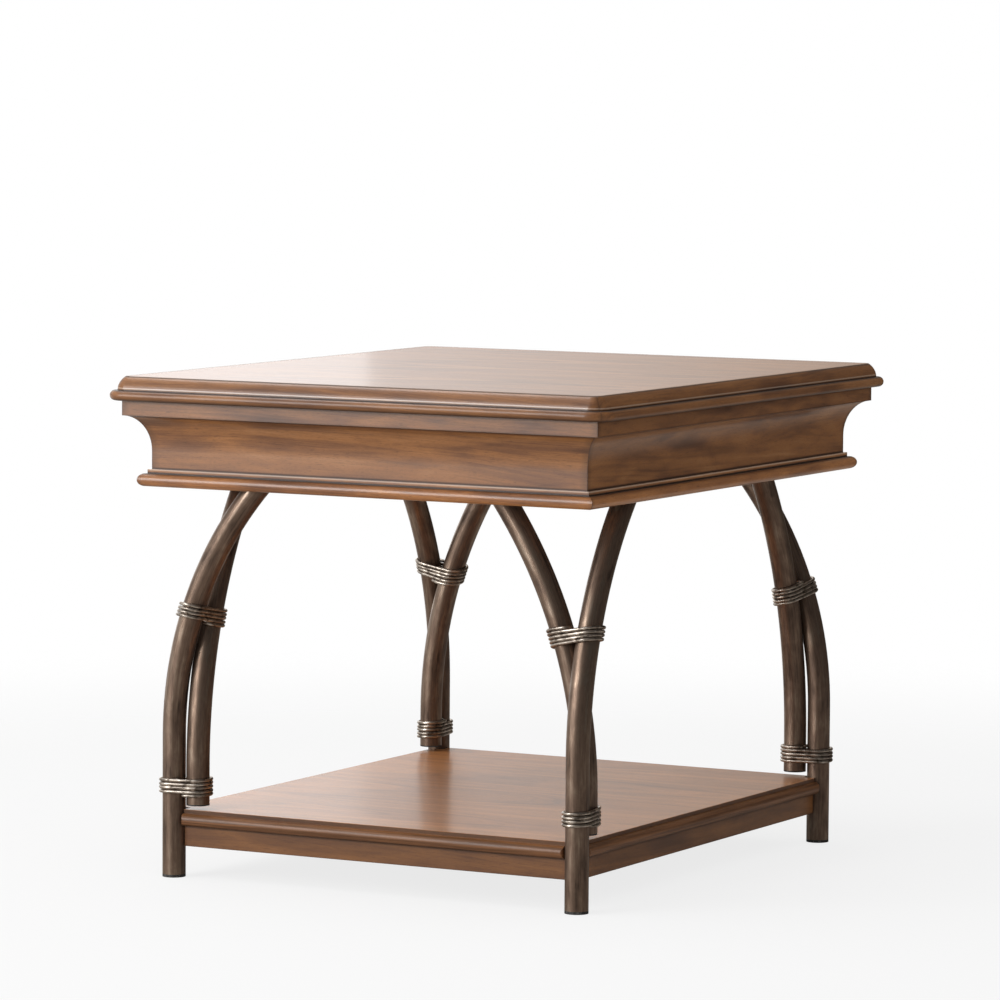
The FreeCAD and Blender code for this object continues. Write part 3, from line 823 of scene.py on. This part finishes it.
# tone=1.6 paints the shelf's veneer paler than the top's: painted light against the shade under the top.
shelf_veneer = cherry(
    "veneer_of_the_shelf", 0, shelf_heart, figuring=0.6, sheen=0.35, tone=1.6, leaf=0.16,
    glaze_and_shade=shelf_painted_shade, lipped=shelf_lip, flat=shelf_flat,
)
dress(shelf, shelf_veneer)


def rail_glaze_and_shade(place):
    """Painted shade where the rails meet the shelf, and a dark line along their lower arrises."""
    height = place.axis("Z")
    head = height.between(shelf_low.z - 0.003, shelf_low.z)
    return (head * 0.8).larger(line_at(height, middle=shelf_rail_foot, half=0.0016) * 0.5)


for number, side in enumerate(sides):
    rail = eased_copy(
        f"shelf_rail_{side}", shelf_easing, lambda point: inset_of(point) < shelf_inset + shelf_rail_zone
    )
    heart = heart_line(number, inset=0.120, height=shelf_low.z - 0.020, step=0.005)
    finish = cherry(
        f"shelf_rail_cherry_{side}", quarter * (number % 2), heart, figuring=0.5, sheen=0.20, tone=0.60,
        patchy=0.32, glaze_and_shade=rail_glaze_and_shade,
    )
    dress(rail, finish)

# Shelf brackets. Coated steel webs welded to the legs on the corners' diagonals, each with a flange
# under the panel and two pan-head screws up into it.

for corner in corners:
    wear(f"{corner}_shelf_bracket", plate_coat)
wear("bracket_screws", screw_zinc)

# Foot glides and plugs. Push-in plugs of dark moulded plastic, whose discs close the lower ends of
# the legs and of the braces and are scuffed by use.

plastic_black = (0.016, 0.015, 0.014)
plastic_scuffed = (0.07, 0.065, 0.06)


def scuffed_plastic(name):
    """Near-black moulded plastic with pale scuffs."""
    material, shader, place = new_finish(name)
    scuffs = place.cloud((300, 300, 120), 4, 0.8)
    skin = place.cloud((2200, 2200, 2200), 2)
    feed(shader, {
        "Base Color": mixed(scuffs.between(0.48, 0.70), plastic_black, plastic_scuffed),
        "Roughness": 0.45 + scuffs * 0.3,
        "Normal": skin.bump(strength=0.15, depth=0.0002),
    })
    return material


dark_plastic = scuffed_plastic("plastic_of_the_glides")
wear("foot_glides", dark_plastic)
wear("brace_end_plugs", dark_plastic)

# Floor and backdrop. A pale round floor that fades into white. What mirrors it sees a dimmer floor, and
# a backdrop that is bright at the left and in a sheen behind the left side, and dark at the right.

floor_radius = 2.2
floor_drop = 0.0002
fade_start = 0.95
fade_end = 2.1
floor_grey = (0.60, 0.60, 0.60, 1)
floor_mirrored = (0.34, 0.30, 0.26, 1)
white_seen = 0.8
white_mirrored = 0.1
bpy.ops.object.select_all(action="DESELECT")
bpy.ops.mesh.primitive_circle_add(
    vertices=96, radius=floor_radius, fill_type="NGON", location=(0, 0, -floor_drop)
)
floor = bpy.context.active_object
floor.name = "studio_floor"
material, shader, place = new_finish("pale_floor")
tree = material.node_tree
tree.nodes.remove(shader)
paths = tree.nodes.new("ShaderNodeLightPath")
camera_ray = Tone(tree, paths.outputs["Is Camera Ray"])
glossy_ray = Tone(tree, paths.outputs["Is Glossy Ray"])
seen = camera_ray.larger(Tone(tree, paths.outputs["Is Transmission Ray"]))
seen = seen.larger(glossy_ray * white_mirrored)
distance = place.node("ShaderNodeVectorMath", {"operation": "LENGTH"}, {0: place}, "Value")
pale = place.node("ShaderNodeBsdfDiffuse", {}, {"Color": floor_grey})
dim = place.node("ShaderNodeBsdfDiffuse", {}, {"Color": floor_mirrored})
lit = place.node("ShaderNodeMixShader", {}, {0: glossy_ray, 1: pale, 2: dim})
white = place.node("ShaderNodeEmission", {}, {"Color": (1, 1, 1, 1), "Strength": 1.0})
clear = place.node("ShaderNodeBsdfTransparent", {}, {})
near = place.node("ShaderNodeMixShader", {}, {0: seen * white_seen, 1: lit, 2: white})
far = distance.between(fade_start, fade_end)
faded = place.node("ShaderNodeMixShader", {}, {0: far, 1: near, 2: clear})
tree.links.new(faded.socket, tree.nodes["Material Output"].inputs["Surface"])
floor.data.materials.append(material)

ambient = 0.74
mirrored_right = 0.05
mirrored_left = 0.70
mirrored_drop_behind = 0.45
mirrored_sheen = 0.92
left_way = (-0.883, -0.469, 0)
plain_white = (1, 1, 1)
warm_white = (1, 0.82, 0.65)
world = bpy.data.worlds.new("white_backdrop")
world.use_nodes = True
bpy.context.scene.world = world
tree = world.node_tree
tree.nodes.remove(tree.nodes["Background"])
way = Tone(tree, tree.nodes.new("ShaderNodeTexCoord").outputs["Generated"])
paths = tree.nodes.new("ShaderNodeLightPath")
left = way.axis("X").between(0.30, -0.50)
behind = way.axis("Y").between(0.10, 0.60)
leftness = way.node("ShaderNodeVectorMath", {"operation": "DOT_PRODUCT"}, {0: way, 1: left_way}, "Value")
sheen = leftness.between(-0.14, 0.06) * behind
camera_ray = Tone(tree, paths.outputs["Is Camera Ray"])
glossy_ray = Tone(tree, paths.outputs["Is Glossy Ray"])
straight_ray = camera_ray.larger(Tone(tree, paths.outputs["Is Transmission Ray"]))
mirrored = mirrored_right + left * (mirrored_left - behind * mirrored_drop_behind) + sheen * mirrored_sheen
level = ambient * (1 - glossy_ray) + mirrored * glossy_ray
strength = straight_ray + level * (1 - straight_ray)
tint = mixed(glossy_ray * behind * (1 - sheen), plain_white, warm_white)
backdrop = way.node("ShaderNodeBackground", {}, {"Color": tint, "Strength": strength})
tree.links.new(backdrop.socket, tree.nodes["World Output"].inputs["Surface"])

# Lamps. Four soft panels: a large key lamp at the front left, one overhead, a weak one low behind the
# left side for the sheen on the top, and a small one above for the gloss on the mouldings.


def soft_lamp(name, place, target, width, height, watts):
    """A panel of light that is turned to its target and isn't seen by the camera."""
    bpy.ops.object.light_add(type="AREA", location=place)
    lamp = bpy.context.active_object
    lamp.name = name
    lamp.data.shape = "RECTANGLE"
    lamp.data.size = width
    lamp.data.size_y = height
    lamp.data.energy = watts
    lamp.rotation_euler = (Vector(target) - Vector(place)).to_track_quat("-Z", "Y").to_euler()
    lamp.visible_camera = False
    return lamp


soft_lamp("key_lamp", place=(-1.9, -3.1, 1.30), target=(0, 0, 0.35), width=1.9, height=1.9, watts=86)
overhead_lamp = soft_lamp(
    "overhead_lamp", place=(-1.0, -0.7, 2.7), target=(0, 0, 0.40), width=2.2, height=2.2, watts=34
)
overhead_lamp.visible_glossy = False
sheen_lamp = soft_lamp(
    "sheen_lamp", place=(-2.30, 2.10, 0.80), target=(0, 0, 0.55), width=1.7, height=1.4, watts=5
)
sheen_lamp.visible_diffuse = False
gloss_lamp = soft_lamp(
    "gloss_lamp", place=(-1.1, -0.05, 2.5), target=(0, -0.3, 0.5), width=0.7, height=0.7, watts=13
)
gloss_lamp.visible_diffuse = False

# Camera. It stands to the right of the front and a little above the top, with a long lens,
# as it did for the photograph.

camera_place = (2.8874, -5.3826, 0.9271)
lens_length = 199.04
sensor_width = 36
heading = math.radians(28.271)
tilt = math.radians(90 - 4.924)
roll = math.radians(0.405)
bpy.ops.object.camera_add(location=camera_place)
camera = bpy.context.active_object
camera.data.sensor_width = sensor_width
camera.data.lens = lens_length
turn = Euler((tilt, 0, heading)).to_matrix()
camera.rotation_euler = (turn @ Matrix.Rotation(roll, 3, "Z")).to_euler()
bpy.context.scene.camera = camera
bpy.context.scene.view_settings.view_transform = "Standard"
